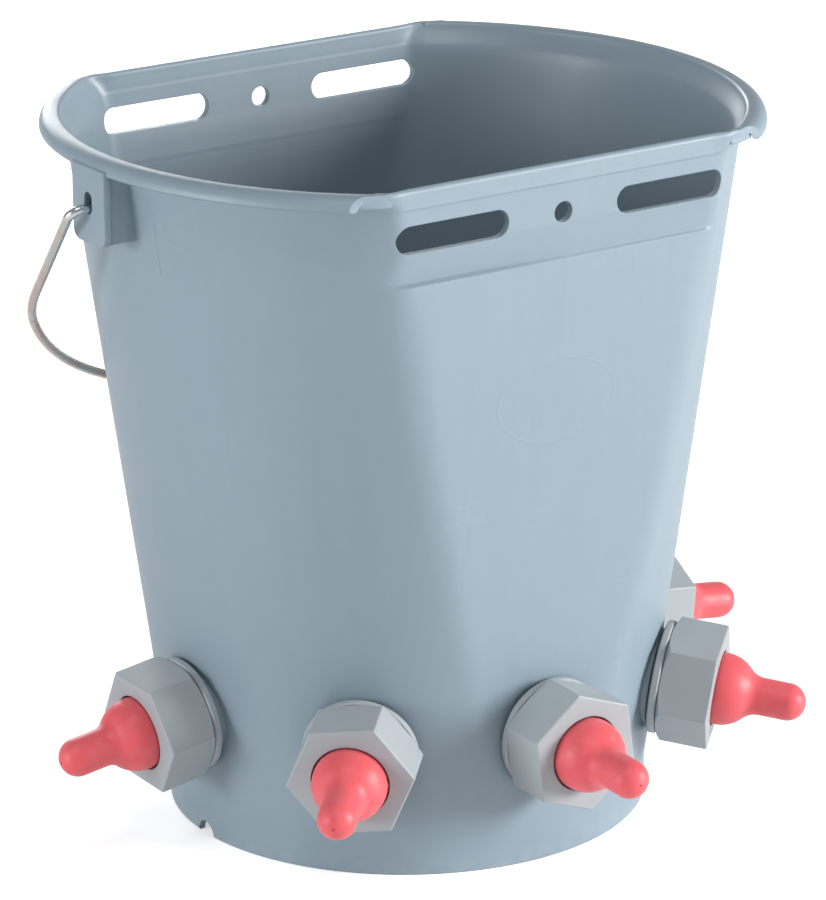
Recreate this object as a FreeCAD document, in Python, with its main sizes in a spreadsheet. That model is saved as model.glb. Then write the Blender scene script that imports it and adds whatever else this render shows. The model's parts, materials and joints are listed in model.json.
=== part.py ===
import FreeCAD, Part
import math
import os
import Sketcher

# Feeding bucket with five screw-on rubber teats and a wire bail.
# Frame: origin at the centre of the foot, on the ground; +Z up; X runs from one bail lug to the
# other; Y runs square to the two flats. Millimetres and degrees.
dimensions = {
    # bucket moulding
    "bucket_height": 312, "foot_diameter": 210.6, "foot_height": 16, "mouth_diameter": 290.2,
    "wall": 3, "floor_level": 16, "floor_thickness": 3, "foot_skirt": 3, "floor_corner": 6,
    "rim_overhang": 9.9, "rim_skirt": 8, "rim_roll": 6.5, "rim_lip": 3, "rim_flare": 4.2,
    "rim_end_depth": 29.4, "notch_width": 12, "notch_height": 6,
    # flats, as depths below the round wall, and their hanging band
    "flat_foot_gap": 0.15, "crease_drop": 42, "flat_depth_crease": 23.6, "crease_ledge": 0.9,
    "band_lean_height": 16, "flat_depth_slot": 24.2, "band_edge": 9, "band_proud": 0.6,
    "slot_length": 54.5, "slot_height": 12.1, "slot_drop": 21.4, "slot_overrun": 2.2,
    "hang_hole": 9, "panel_edge": 2.4,
    # bail lugs
    "lug_proud": 0.7, "lug_plate": 3.7, "lug_width": 25.8, "lug_drop": 37, "lug_corner": 5,
    "lug_web": 2.6, "lug_web_inset": 2.9, "eye_width": 6, "eye_height": 9.4, "eye_drop": 19.6,
    # bail
    "wire_diameter": 4, "eye_clearance": 0.4, "bail_leg_gap": 8.3, "bail_lean": 6.5,
    "bail_bend": 5, "bail_shoulder": 70, "bail_crown": 14, "bail_reach": 23,
    "bail_hang": 43.5, "hook_bend": 4, "hook_gap": 0.6, "hook_length": 5.5,
    # teat stations
    "station_height": 59.6, "station_inner_step": 43.5, "station_outer_step": 45.5,
    "pad_diameter": 42, "pad_proud": 0.6, "pad_depth": 5.2,
    "seal_thickness": 1.2, "collar_rim": 5, "collar_thickness": 3.4, "collar_chamfer": 0.6,
    "foot_clearance": 0.5, "cup_length": 14.8, "spigot_diameter": 24, "spigot_length": 20,
    "hole_clearance": 0.3, "thread_clearance": 0.1,
    "lock_wall": 5, "lock_thickness": 8, "lock_flange_rim": 2.5, "lock_flange_thickness": 2,
    "ball_diameter": 10.6, "ball_clearance": 0.4, "ball_travel": 2.8, "ball_gap": 0.05,
    "inlet_diameter": 7, "cage_diameter": 14, "cage_thickness": 4, "cage_level": 12,
    "cage_clearance": 0.05, "cage_hole": 3, "cage_hole_circle": 7.6, "outlet_diameter": 20,
    "nut_wall": 4, "nut_front": 4.5, "nut_back_gap": 0.3, "nut_edge": 0.8, "nut_chamfer": 2.4,
    "teat_foot_rim": 3.5, "teat_foot_thickness": 4, "bulb_diameter": 32, "bulb_neck": 6,
    "bulb_clearance": 0.7, "teat_wall": 2.5, "nipple_base": 17, "nipple_tip": 15.2,
    "nipple_fillet": 6, "teat_reach": 67.5, "milk_hole": 2,
}

stations = ["left", "front_left", "front", "front_right", "right"]
nut_turns = {"left": 57.5, "front_left": 7, "front": 39, "front_right": 14, "right": 27}

doc = FreeCAD.newDocument("feeding_bucket")
sheet = doc.addObject("Spreadsheet::Sheet", "sizes")
for row, (alias, value) in enumerate(dimensions.items(), start=1):
    sheet.set(f"A{row}", str(value))
    sheet.setAlias(f"A{row}", alias)
doc.recompute()


def size(expression):
    """The number that an expression in the sheet's aliases gives."""
    return float(sheet.evalExpression(expression))


def at(name):
    return f"sizes.{name}"


# Expressions in the sheet's aliases that several pieces share.
wall_slope = "((sizes.mouth_diameter - sizes.foot_diameter) / 2 / (sizes.bucket_height - sizes.foot_height))"
slot_level = "(sizes.bucket_height - sizes.slot_drop)"
crease_level = "(sizes.bucket_height - sizes.crease_drop)"
pivot_level = ("(sizes.bucket_height - sizes.eye_drop - sizes.eye_height / 2"
               " + sizes.wire_diameter / 2 + sizes.eye_clearance)")
rim_radius = "(sizes.mouth_diameter / 2 + sizes.rim_overhang)"
lug_face = f"({rim_radius} + sizes.lug_proud)"
teat_foot = "(sizes.bulb_diameter / 2 + sizes.teat_foot_rim)"
cup_radius = f"({teat_foot} + sizes.foot_clearance)"
collar_radius = f"({cup_radius} + sizes.collar_rim)"
nut_half = f"({cup_radius} + sizes.nut_wall)"
lock_half = "(sizes.spigot_diameter / 2 + sizes.lock_wall)"
seat_level = "(sizes.pad_proud + sizes.seal_thickness)"
cup_foot = f"({seat_level} + sizes.collar_thickness)"
cup_end = f"({cup_foot} + sizes.cup_length)"
teat_seat = f"({cup_end} + sizes.teat_foot_thickness)"
nut_back = f"({cup_foot} + sizes.nut_back_gap)"
nut_face = f"({teat_seat} + sizes.nut_front)"
ball_level = "(sizes.cage_level - sizes.ball_gap - sizes.ball_diameter / 2)"
valve_seat = (f"({ball_level} - sizes.ball_travel - sizes.ball_gap"
              " - sqrt(pow(sizes.ball_diameter; 2) - pow(sizes.inlet_diameter; 2)) / 2)")


def wall_radius(level):
    """Outside radius of the round wall at a level."""
    return f"(sizes.foot_diameter / 2 + ({level} - sizes.foot_height) * {wall_slope})"


def flat_distance(level, depth):
    """Distance of a flat from the axis, as a depth below the round wall at a level."""
    return f"({wall_radius(level)} - {depth})"


def bind(feature, **properties):
    """Binds a feature's properties to expressions; two underscores stand for a dot."""
    for name, expression in properties.items():
        feature.setExpression(name.replace("__", "."), expression)
    return feature


def place(feature, offset=("0", "0", "0")):
    for axis, expression in zip("xyz", offset):
        feature.setExpression(f"Placement.Base.{axis}", expression)
    return feature


def new_body(name):
    body = doc.addObject("PartDesign::Body", name)
    body.Label = name
    return body


def outline(body, name, plane, corners):
    """A closed outline of straight lines, each corner held by two bound distances."""
    sketch = body.newObject("Sketcher::SketchObject", name)
    origin_plane = next(item for item in body.Origin.OriginFeatures if item.Role == plane)
    sketch.AttachmentSupport = [(origin_plane, "")]
    sketch.MapMode = "FlatFace"
    points = [FreeCAD.Vector(size(x), size(y), 0) for x, y in corners]
    for start, end in zip(points, points[1:] + points[:1]):
        sketch.addGeometry(Part.LineSegment(start, end), False)
    for index, (corner, point) in enumerate(zip(corners, points)):
        previous = (index - 1) % len(points)
        sketch.addConstraint(Sketcher.Constraint("Coincident", previous, 2, index, 1))
        for kind, axis, expression, value in (("DistanceX", -2, corner[0], point.x),
                                              ("DistanceY", -1, corner[1], point.y)):
            if expression == "0":
                sketch.addConstraint(Sketcher.Constraint("PointOnObject", index, 1, axis))
                continue
            number = sketch.addConstraint(Sketcher.Constraint(kind, -1, 1, index, 1, value))
            sketch.renameConstraint(number, f"{kind}{index}")
            sketch.setExpression(f"Constraints.{kind}{index}", expression)
    return sketch


def turned(name, corners):
    """A body turned about its own Z axis from an outline in (radius, height)."""
    body = new_body(name)
    revolution = body.newObject("PartDesign::Revolution", f"{name}_turning")
    sketch = outline(body, f"{name}_outline", "XZ_Plane", corners)
    revolution.Profile = sketch
    revolution.ReferenceAxis = (sketch, ["V_Axis"])
    revolution.Angle = 360
    body.Tip = revolution
    return body


def round_edges(body, name, edges, radius):
    """PartDesign::Fillet on named edges of a body's last feature."""
    base = body.Tip
    fillet = body.newObject("PartDesign::Fillet", name)
    fillet.Base = (base, edges)
    bind(fillet, Radius=radius)


def solid(kind, name, offset=("0", "0", "0"), **properties):
    """A Part primitive with bound sizes and a bound place."""
    return place(bind(doc.addObject(kind, name), **properties), offset)


def joined(name, pieces):
    fuse = doc.addObject("Part::MultiFuse", name)
    fuse.Shapes = pieces
    return fuse


def cut(name, base, tool):
    difference = doc.addObject("Part::Cut", name)
    difference.Base = base
    difference.Tool = tool
    return difference


def common(name, first, second):
    overlap = doc.addObject("Part::MultiCommon", name)
    overlap.Shapes = [first, second]
    return overlap


def rounded(name, base, radius, chosen):
    """Part::Fillet on the edges of a feature that the test picks."""
    doc.recompute()
    numbers = [n for n, edge in enumerate(base.Shape.Edges, start=1) if chosen(edge)]
    fillet = doc.addObject("Part::Fillet", name)
    fillet.Base = base
    fillet.Edges = [(n, size(radius), size(radius)) for n in numbers]
    return fillet


def station_placement(station):
    """Local +Z leaves the wall square at its outside surface; local +X stays level."""
    level = size(at("station_height"))
    steps = {"left": -1, "front_left": -1, "front": 0, "front_right": 1, "right": 1}
    turn = size(at("station_inner_step"))
    if station in ("left", "right"):
        turn += size(at("station_outer_step"))
    azimuth = math.radians(-90 + steps[station] * turn)
    radius = size(wall_radius(at("station_height")))
    slope = size(wall_slope)
    if station == "front":
        foot, top = size(flat_foot), size(flat_crease)
        slope = (top - foot) / size(f"{crease_level} - sizes.foot_height")
        radius = foot + (level - size(at("foot_height"))) * slope
    droop = math.atan(slope)
    base = FreeCAD.Vector(radius * math.cos(azimuth), radius * math.sin(azimuth), level)
    outward = FreeCAD.Vector(math.cos(azimuth) * math.cos(droop),
                             math.sin(azimuth) * math.cos(droop), -math.sin(droop))
    sideways = FreeCAD.Vector(-math.sin(azimuth), math.cos(azimuth), 0)
    return FreeCAD.Placement(base, FreeCAD.Rotation(sideways, outward.cross(sideways), outward, "ZXY"))


flat_foot = "(sizes.foot_diameter / 2 + sizes.flat_foot_gap)"
flat_crease = flat_distance(crease_level, "sizes.flat_depth_crease")
flat_slot = flat_distance(slot_level, "sizes.flat_depth_slot")


def flats_form(name, inset):
    """A long bar with the flats' profile, moved inwards by a wall."""
    lean_top = f"({crease_level} + sizes.band_lean_height)"
    edge_level = "(sizes.bucket_height - sizes.band_edge)"
    side = [
        (f"{flat_foot} + sizes.wall", "0 - sizes.wall"),
        (f"{flat_foot} + sizes.wall", "sizes.foot_height"),
        (f"{flat_foot}", "sizes.foot_height"),
        (f"{flat_crease}", crease_level),
        (f"{flat_crease} - sizes.crease_ledge", f"{crease_level} + sizes.crease_ledge"),
        (f"{flat_slot} - sizes.band_proud", lean_top),
        (f"{flat_slot} + sizes.band_proud / 2", edge_level),
        (f"{flat_slot} + sizes.band_proud * 1.5", f"{edge_level} + sizes.band_proud"),
        (f"{flat_slot} + sizes.band_proud * 1.5", "sizes.bucket_height + sizes.wall"),
    ]
    right = [(f"{y} - {inset}", z) for y, z in side]
    left = [(f"0 - ({y} - {inset})", z) for y, z in reversed(side)]
    body = new_body(name)
    pad = body.newObject("PartDesign::Pad", f"{name}_pad")
    pad.Profile = outline(body, f"{name}_outline", "YZ_Plane", right + left)
    pad.SideType = "Symmetric"
    bind(pad, Length=f"{rim_radius} * 4")
    body.Tip = pad
    return body


def outer_form():
    round_form = turned("round_outside", [
        ("0", "0"),
        ("sizes.foot_diameter / 2", "0"),
        ("sizes.foot_diameter / 2", "sizes.foot_height"),
        ("sizes.mouth_diameter / 2", "sizes.bucket_height"),
        ("0", "sizes.bucket_height"),
    ])
    return common("outside_form", round_form, flats_form("flats_outside", "0"))


def inner_form():
    flare_level = "(sizes.bucket_height - sizes.rim_skirt)"
    inside = f"{wall_radius(flare_level)} - sizes.wall"
    body = turned("round_inside", [
        ("0", "sizes.floor_level"),
        (f"{wall_radius('sizes.floor_level')} - sizes.wall", "sizes.floor_level"),
        (inside, flare_level),
        (f"{inside} + sizes.rim_flare", "sizes.bucket_height"),
        (f"{inside} + sizes.rim_flare", "sizes.bucket_height + sizes.wall"),
        ("0", "sizes.bucket_height + sizes.wall"),
    ])
    doc.recompute()
    floor = size("sizes.floor_level")
    floor_edges = [f"Edge{n}" for n, edge in enumerate(body.Tip.Shape.Edges, start=1)
                   if abs(edge.BoundBox.ZMax - floor) < 1e-6 and isinstance(edge.Curve, Part.Circle)]
    round_edges(body, "floor_corner_round", floor_edges, "sizes.floor_corner")
    return common("inside_form", body, flats_form("flats_inside", "sizes.wall"))


def rim_flange():
    """The hooked rim, on the two round stretches only."""
    radius = rim_radius
    under = "sizes.bucket_height - sizes.rim_lip"
    inner_lip = f"{radius} - sizes.rim_lip"
    body = turned("rim_round", [
        (f"{wall_radius(under)} - sizes.wall / 2", under),
        (f"{inner_lip} - sizes.rim_lip * 0.8", under),
        (inner_lip, f"{under} - sizes.rim_lip * 0.8"),
        (inner_lip, "sizes.bucket_height - sizes.rim_skirt"),
        (radius, "sizes.bucket_height - sizes.rim_skirt"),
        (radius, "sizes.bucket_height"),
        (f"{wall_radius(under)} - sizes.wall / 2", "sizes.bucket_height"),
    ])
    doc.recompute()
    wide, high = size(radius), size("sizes.bucket_height")
    crest = [f"Edge{n}" for n, edge in enumerate(body.Tip.Shape.Edges, start=1)
             if isinstance(edge.Curve, Part.Circle) and abs(edge.Curve.Radius - wide) < 1e-6
             and abs(edge.BoundBox.ZMin - high) < 1e-6]
    round_edges(body, "rim_roll_round", crest, "sizes.rim_roll")
    end = f"({wall_radius('sizes.bucket_height')} - sizes.rim_end_depth)"
    slab = solid("Part::Box", "rim_end_slab", (f"0 - {radius} * 2", f"0 - {end}", "0"),
                 Length=f"{radius} * 4", Width=f"{end} * 2", Height="sizes.bucket_height * 2")
    return common("rim_flange", body, slab)


def lug(side):
    """Outer plate of a bail lug and the two webs that tie it to the wall."""
    name = "left" if side < 0 else "right"
    bottom = "(sizes.bucket_height - sizes.lug_drop)"
    top = "(sizes.bucket_height - sizes.rim_lip)"
    plate_x = f"({lug_face} - sizes.lug_plate)" if side > 0 else f"(0 - {lug_face})"
    plate = solid("Part::Box", f"lug_plate_{name}", (plate_x, "0 - sizes.lug_width / 2", bottom),
                  Length="sizes.lug_plate", Width="sizes.lug_width",
                  Height=f"{top} - {bottom} - sizes.rim_lip / 2")
    low = size(bottom)

    def lower_corner(edge):
        box = edge.BoundBox
        return abs(box.ZMax - low) < 1e-6 and box.XLength > box.YLength

    plate = rounded(f"lug_plate_round_{name}", plate, at("lug_corner"), lower_corner)
    web_depth = f"({lug_face} - sizes.lug_plate / 2 - {wall_radius(bottom)} + sizes.wall)"
    web_x = f"({lug_face} - sizes.lug_plate / 2 - {web_depth})" if side > 0 \
        else f"(0 - {lug_face} + sizes.lug_plate / 2)"
    pieces = [plate]
    for edge_name, web_y in (("front", "0 - sizes.lug_width / 2 + sizes.lug_web_inset"),
                             ("back", "sizes.lug_width / 2 - sizes.lug_web_inset - sizes.lug_web")):
        pieces.append(solid("Part::Box", f"lug_web_{name}_{edge_name}",
                            (web_x, web_y, f"{bottom} + sizes.wall / 2"),
                            Length=web_depth, Width="sizes.lug_web",
                            Height=f"{top} - {bottom} - sizes.wall / 2 + sizes.rim_lip / 3"))
    return pieces


def along(axis, feature):
    """Turns a primitive's own Z to lie along X or Y."""
    turn = FreeCAD.Rotation(FreeCAD.Vector(0, 1, 0), 90) if axis == "x" \
        else FreeCAD.Rotation(FreeCAD.Vector(1, 0, 0), -90)
    feature.Placement = FreeCAD.Placement(feature.Placement.Base, turn)
    return feature


def slot_end():
    """How far a slot's outer end lies from the middle; it runs a little past the flat's corner."""
    corner = f"sqrt(pow({wall_radius(slot_level)}; 2) - pow({flat_slot}; 2))"
    return f"({corner} + sizes.slot_overrun)"


def hanging_cuts():
    """The long slots and the centre hole, straight through both flats."""
    across = f"({rim_radius} * 2)"
    start = f"0 - {across} / 2"
    centre = f"({slot_end()} - sizes.slot_length / 2)"
    straight = "(sizes.slot_length - sizes.slot_height)"
    cuts = [along("y", solid("Part::Cylinder", "hang_hole_cut", ("0", start, slot_level),
                             Radius="sizes.hang_hole / 2", Height=across))]
    for name, sign in (("left", "-1"), ("right", "1")):
        cuts.append(solid("Part::Box", f"slot_{name}_middle",
                          (f"{sign} * {centre} - {straight} / 2", start,
                           f"{slot_level} - sizes.slot_height / 2"),
                          Length=straight, Width=across, Height="sizes.slot_height"))
        for end_name, end in (("inner", "-1"), ("outer", "1")):
            cuts.append(along("y", solid("Part::Cylinder", f"slot_{name}_{end_name}",
                                         (f"{sign} * ({centre} + {end} * {straight} / 2)", start,
                                          slot_level),
                                         Radius="sizes.slot_height / 2", Height=across)))
    return cuts


def eye_cuts():
    """Upright oval eyes through the lug plates only."""
    cuts = []
    half = "((sizes.eye_height - sizes.eye_width) / 2)"
    level = "(sizes.bucket_height - sizes.eye_drop)"
    length = "sizes.lug_plate * 2"
    for name, start in (("left", f"0 - {lug_face} - sizes.lug_plate / 2"),
                        ("right", f"{lug_face} - sizes.lug_plate * 1.5")):
        cuts.append(solid("Part::Box", f"eye_{name}_middle",
                          (start, "0 - sizes.eye_width / 2", f"{level} - {half}"),
                          Length=length, Width="sizes.eye_width", Height=f"{half} * 2"))
        for end_name, end in (("low", "-1"), ("high", "1")):
            cuts.append(along("x", solid("Part::Cylinder", f"eye_{name}_{end_name}",
                                         (start, "0", f"{level} + {end} * {half}"),
                                         Radius="sizes.eye_width / 2", Height=length)))
    return cuts


def foot_cuts():
    """The hollow under the floor and the two drain notches in the foot."""
    recess = solid("Part::Cylinder", "foot_recess",
                   Radius="sizes.foot_diameter / 2 - sizes.foot_skirt",
                   Height="sizes.floor_level - sizes.floor_thickness")
    across = f"({rim_radius} * 2)"
    radius = "sizes.notch_width / 2"
    arch = along("x", solid("Part::Cylinder", "notch_arch",
                            (f"0 - {across} / 2", "0", f"sizes.notch_height - {radius}"),
                            Radius=radius, Height=across))
    return [recess, arch]


def station_cylinder(name, station, radius, start, length):
    cylinder = bind(doc.addObject("Part::Cylinder", f"{name}_{station}"), Radius=radius, Height=length)
    cylinder.Placement = station_placement(station) * FreeCAD.Placement(
        FreeCAD.Vector(0, 0, size(start)), FreeCAD.Rotation())
    return cylinder


def panel_block(name, side):
    """Block around a flat's hanging band, from the crease to the mouth."""
    half = f"({slot_end()} + sizes.panel_edge)"
    start = "0" if side > 0 else f"0 - {rim_radius}"
    return solid("Part::Box", f"{name}_block",
                 (f"0 - {half}", start, f"{crease_level} + sizes.crease_ledge"),
                 Length=f"{half} * 2", Width=rim_radius, Height="sizes.bucket_height")


def bucket():
    """The moulding, in three nodes: the bucket and the hanging panel at the top of each flat."""
    outside = joined("outside_with_lugs", [outer_form(), rim_flange()] + lug(-1) + lug(1))
    shell = cut("hollow_shell", outside, inner_form())
    pads = [station_cylinder("pad", station, "sizes.pad_diameter / 2", "0 - sizes.pad_depth",
                             "sizes.pad_depth + sizes.pad_proud") for station in stations]
    holes = [station_cylinder("hole", station, "sizes.spigot_diameter / 2 + sizes.hole_clearance",
                              "0 - sizes.pad_depth * 2", "sizes.pad_depth * 3")
             for station in stations]
    padded = joined("shell_with_pads", [shell] + pads)
    cuts = joined("bucket_cuts", hanging_cuts() + eye_cuts() + foot_cuts() + holes)
    moulding = cut("moulding", padded, cuts)
    panels = []
    for name, side in (("front_hang_panel", -1), ("back_hang_panel", 1)):
        panels.append(common(name, moulding, panel_block(name, side)))
    blocks = joined("panel_blocks", [panel_block("front_gap", -1), panel_block("back_gap", 1)])
    lower = cut("bucket", moulding, blocks)
    return [lower] + panels


def bail_handle():
    """One bent wire: hooked ends, legs, shoulders and crown, swept along tangent arcs."""
    def point(x, drop):
        return FreeCAD.Vector(x, 0, -drop)

    bend, hook_bend = size(at("bail_bend")), size(at("hook_bend"))
    shoulder = size(at("bail_shoulder"))
    crown = size(f"{rim_radius} + sizes.bail_crown")
    reach = size(f"{rim_radius} + sizes.bail_reach")
    lean = math.radians(size(at("bail_lean")))
    leg_x = size(f"{lug_face} + sizes.bail_leg_gap")
    stub_x = size(f"{lug_face} - sizes.lug_plate - sizes.hook_gap")
    hook_x = stub_x - hook_bend
    hook_length = size(at("hook_length"))
    along_leg = (-math.sin(lean), math.cos(lean))
    # The shoulder arc touches the leg and the crown arc from inside.
    inward = (leg_x - shoulder * math.cos(lean), -shoulder * math.sin(lean) - (reach - crown))
    half = inward[0] * along_leg[0] + inward[1] * along_leg[1]
    rest = inward[0] ** 2 + inward[1] ** 2 - (crown - shoulder) ** 2
    leg_end = -half + math.sqrt(half ** 2 - rest)
    centre = (inward[0] + along_leg[0] * leg_end, inward[1] + along_leg[1] * leg_end)
    grow = crown / (crown - shoulder)
    crown_end = (centre[0] * grow, centre[1] * grow + reach - crown)
    leg_tip = (leg_x + along_leg[0] * leg_end, along_leg[1] * leg_end)
    middle_x = (leg_tip[0] + crown_end[0]) / 2 - centre[0]
    middle_v = (leg_tip[1] + crown_end[1]) / 2 - centre[1] - (reach - crown)
    length = math.hypot(middle_x, middle_v)
    shoulder_mid = (centre[0] + middle_x / length * shoulder,
                    centre[1] + reach - crown + middle_v / length * shoulder)
    # The bend between stub and leg turns by a right angle and the lean.
    turn = math.pi / 2 + lean
    setback = bend * math.tan(turn / 2)
    bend_start = (leg_x - setback, 0)
    bend_end = (leg_x + along_leg[0] * setback, along_leg[1] * setback)
    bend_mid = (bend_start[0] + bend * math.sin(turn / 2), bend * (1 - math.cos(turn / 2)))
    hook_mid = (stub_x - hook_bend * math.sin(math.pi / 4), hook_bend * (1 - math.cos(math.pi / 4)))

    def side(sign):
        def p(pair):
            return point(sign * pair[0], pair[1])
        return [
            Part.LineSegment(p((hook_x, hook_length)), p((hook_x, hook_bend))).toShape(),
            Part.Arc(p((hook_x, hook_bend)), p(hook_mid), p((stub_x, 0))).toShape(),
            Part.LineSegment(p((stub_x, 0)), p(bend_start)).toShape(),
            Part.Arc(p(bend_start), p(bend_mid), p(bend_end)).toShape(),
            Part.LineSegment(p(bend_end), p(leg_tip)).toShape(),
            Part.Arc(p(leg_tip), p(shoulder_mid), p(crown_end)).toShape(),
        ]

    arch = Part.Arc(point(crown_end[0], crown_end[1]), point(0, reach),
                    point(-crown_end[0], crown_end[1])).toShape()
    spine = Part.Wire(Part.__sortEdges__(side(1) + [arch] + side(-1)))
    section = Part.Wire(Part.makeCircle(size("sizes.wire_diameter / 2"),
                                        point(hook_x, hook_length), FreeCAD.Vector(0, 0, 1)))
    wire = doc.addObject("Part::Feature", "bail_handle")
    wire.Shape = spine.makePipeShell([section], True, False)
    wire.Placement = FreeCAD.Placement(FreeCAD.Vector(0, 0, size(pivot_level)),
                                       FreeCAD.Rotation(FreeCAD.Vector(1, 0, 0), size(at("bail_hang"))))
    return wire


def valve_body(station):
    """Collar, threaded cup outside and threaded spigot through the wall, with the valve bore."""
    spigot_end = f"({seat_level} - sizes.pad_depth - sizes.spigot_length + sizes.pad_proud)"
    cage_bore = "(sizes.cage_diameter / 2 + sizes.cage_clearance)"
    chamber = "(sizes.ball_diameter / 2 + sizes.ball_clearance)"
    cage_top = "(sizes.cage_level + sizes.cage_thickness)"
    body = turned(f"valve_body_{station}", [
        ("sizes.inlet_diameter / 2", spigot_end),
        ("sizes.spigot_diameter / 2", spigot_end),
        ("sizes.spigot_diameter / 2", seat_level),
        (f"{collar_radius} - sizes.collar_chamfer", seat_level),
        (collar_radius, f"{seat_level} + sizes.collar_chamfer"),
        (collar_radius, f"{cup_foot} - sizes.collar_chamfer"),
        (f"{collar_radius} - sizes.collar_chamfer", cup_foot),
        (cup_radius, cup_foot),
        (cup_radius, cup_end),
        ("sizes.outlet_diameter / 2", cup_end),
        (cage_bore, cage_top),
        (cage_bore, "sizes.cage_level"),
        (chamber, "sizes.cage_level"),
        (chamber, f"{valve_seat} + {chamber} - sizes.inlet_diameter / 2"),
        ("sizes.inlet_diameter / 2", valve_seat),
    ])
    body.Placement = station_placement(station)
    return body


def wall_seal(station):
    inner = "sizes.spigot_diameter / 2 + sizes.hole_clearance"
    body = turned(f"wall_seal_{station}", [
        (inner, "sizes.pad_proud"),
        ("sizes.pad_diameter / 2", "sizes.pad_proud"),
        ("sizes.pad_diameter / 2", seat_level),
        (inner, seat_level),
    ])
    body.Placement = station_placement(station)
    return body


def lock_nut(station):
    """Flanged hexagon nut on the spigot, inside the bucket."""
    bore = "(sizes.spigot_diameter / 2 + sizes.thread_clearance)"
    flange_face = "(0 - sizes.pad_depth)"
    flange = solid("Part::Cylinder", f"lock_flange_{station}",
                   ("0", "0", f"{flange_face} - sizes.lock_flange_thickness"),
                   Radius=f"{lock_half} + sizes.lock_flange_rim", Height="sizes.lock_flange_thickness")
    hexagon = solid("Part::Prism", f"lock_hexagon_{station}",
                    ("0", "0", f"{flange_face} - sizes.lock_thickness"),
                    Circumradius=f"{lock_half} / cos(30 deg)", Height="sizes.lock_thickness")
    hexagon.Polygon = 6
    drill = solid("Part::Cylinder", f"lock_bore_{station}",
                  ("0", "0", f"{flange_face} - sizes.lock_thickness * 1.5"),
                  Radius=bore, Height="sizes.lock_thickness * 2")
    nut = cut(f"lock_nut_{station}", joined(f"lock_blank_{station}", [flange, hexagon]), drill)
    nut.Label = f"lock_nut_{station}"
    nut.Placement = station_placement(station)
    return nut


def valve_ball(station):
    ball = bind(doc.addObject("Part::Sphere", f"valve_ball_{station}"), Radius="sizes.ball_diameter / 2")
    ball.Placement = station_placement(station) * FreeCAD.Placement(
        FreeCAD.Vector(0, 0, size(ball_level)), FreeCAD.Rotation())
    return ball


def ball_cage(station):
    """Drilled disc that holds the ball in and lets the milk past."""
    disc = solid("Part::Cylinder", f"cage_disc_{station}", ("0", "0", "sizes.cage_level"),
                 Radius="sizes.cage_diameter / 2", Height="sizes.cage_thickness")
    drills = []
    for number, (across, up) in enumerate(((1, 0), (0, 1), (-1, 0), (0, -1))):
        drills.append(solid("Part::Cylinder", f"cage_drill_{station}_{number}",
                            (f"{across} * sizes.cage_hole_circle / 2",
                             f"{up} * sizes.cage_hole_circle / 2",
                             "sizes.cage_level - sizes.cage_thickness"),
                            Radius="sizes.cage_hole / 2", Height="sizes.cage_thickness * 3"))
    cage = cut(f"ball_cage_{station}", disc, joined(f"cage_drills_{station}", drills))
    cage.Label = f"ball_cage_{station}"
    cage.Placement = station_placement(station)
    return cage


def teat(station):
    """Hollow rubber teat: clamped foot, bulb, filleted nipple and milk hole."""
    dome_level = f"({teat_seat} + sizes.bulb_neck)"
    nipple_end = "(sizes.teat_reach - sizes.nipple_tip / 2)"
    foot = solid("Part::Cylinder", f"teat_foot_{station}", ("0", "0", cup_end),
                 Radius=teat_foot, Height="sizes.teat_foot_thickness")
    neck = solid("Part::Cylinder", f"teat_neck_{station}", ("0", "0", cup_end),
                 Radius="sizes.bulb_diameter / 2", Height=f"{dome_level} - {cup_end}")
    dome = solid("Part::Sphere", f"teat_dome_{station}", ("0", "0", dome_level),
                 Radius="sizes.bulb_diameter / 2")
    dome.Angle1 = 0
    nipple = solid("Part::Cone", f"teat_nipple_{station}", ("0", "0", dome_level),
                   Radius1="sizes.nipple_base / 2", Radius2="sizes.nipple_tip / 2",
                   Height=f"{nipple_end} - {dome_level}")
    tip = solid("Part::Sphere", f"teat_tip_{station}", ("0", "0", nipple_end),
                Radius="sizes.nipple_tip / 2")
    blank = joined(f"teat_blank_{station}", [foot, neck, dome, nipple, tip])
    base_radius, dome_radius = size("sizes.nipple_base / 2"), size("sizes.bulb_diameter / 2")

    def nipple_root(edge):
        if edge.Degenerated or not isinstance(edge.Curve, Part.Circle):
            return False
        rise = edge.Curve.Center.z - size(dome_level)
        return edge.Curve.Radius < base_radius and 0 < rise < dome_radius

    filleted = rounded(f"teat_root_{station}", blank, at("nipple_fillet"), nipple_root)
    hollow = joined(f"teat_hollow_{station}", [
        solid("Part::Cylinder", f"bulb_hollow_{station}", ("0", "0", f"{cup_end} - sizes.teat_wall"),
              Radius="sizes.bulb_diameter / 2 - sizes.teat_wall",
              Height=f"{dome_level} - {cup_end} + sizes.teat_wall"),
        solid("Part::Sphere", f"dome_hollow_{station}", ("0", "0", dome_level),
              Radius="sizes.bulb_diameter / 2 - sizes.teat_wall"),
        solid("Part::Cylinder", f"nipple_hollow_{station}", ("0", "0", dome_level),
              Radius="sizes.nipple_tip / 2 - sizes.teat_wall",
              Height=f"{nipple_end} - {dome_level}"),
        solid("Part::Cylinder", f"milk_hole_{station}", ("0", "0", dome_level),
              Radius="sizes.milk_hole / 2", Height="sizes.teat_reach"),
    ])
    rubber = cut(f"teat_{station}", filleted, hollow)
    rubber.Label = f"teat_{station}"
    rubber.Placement = station_placement(station)
    return rubber


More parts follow.
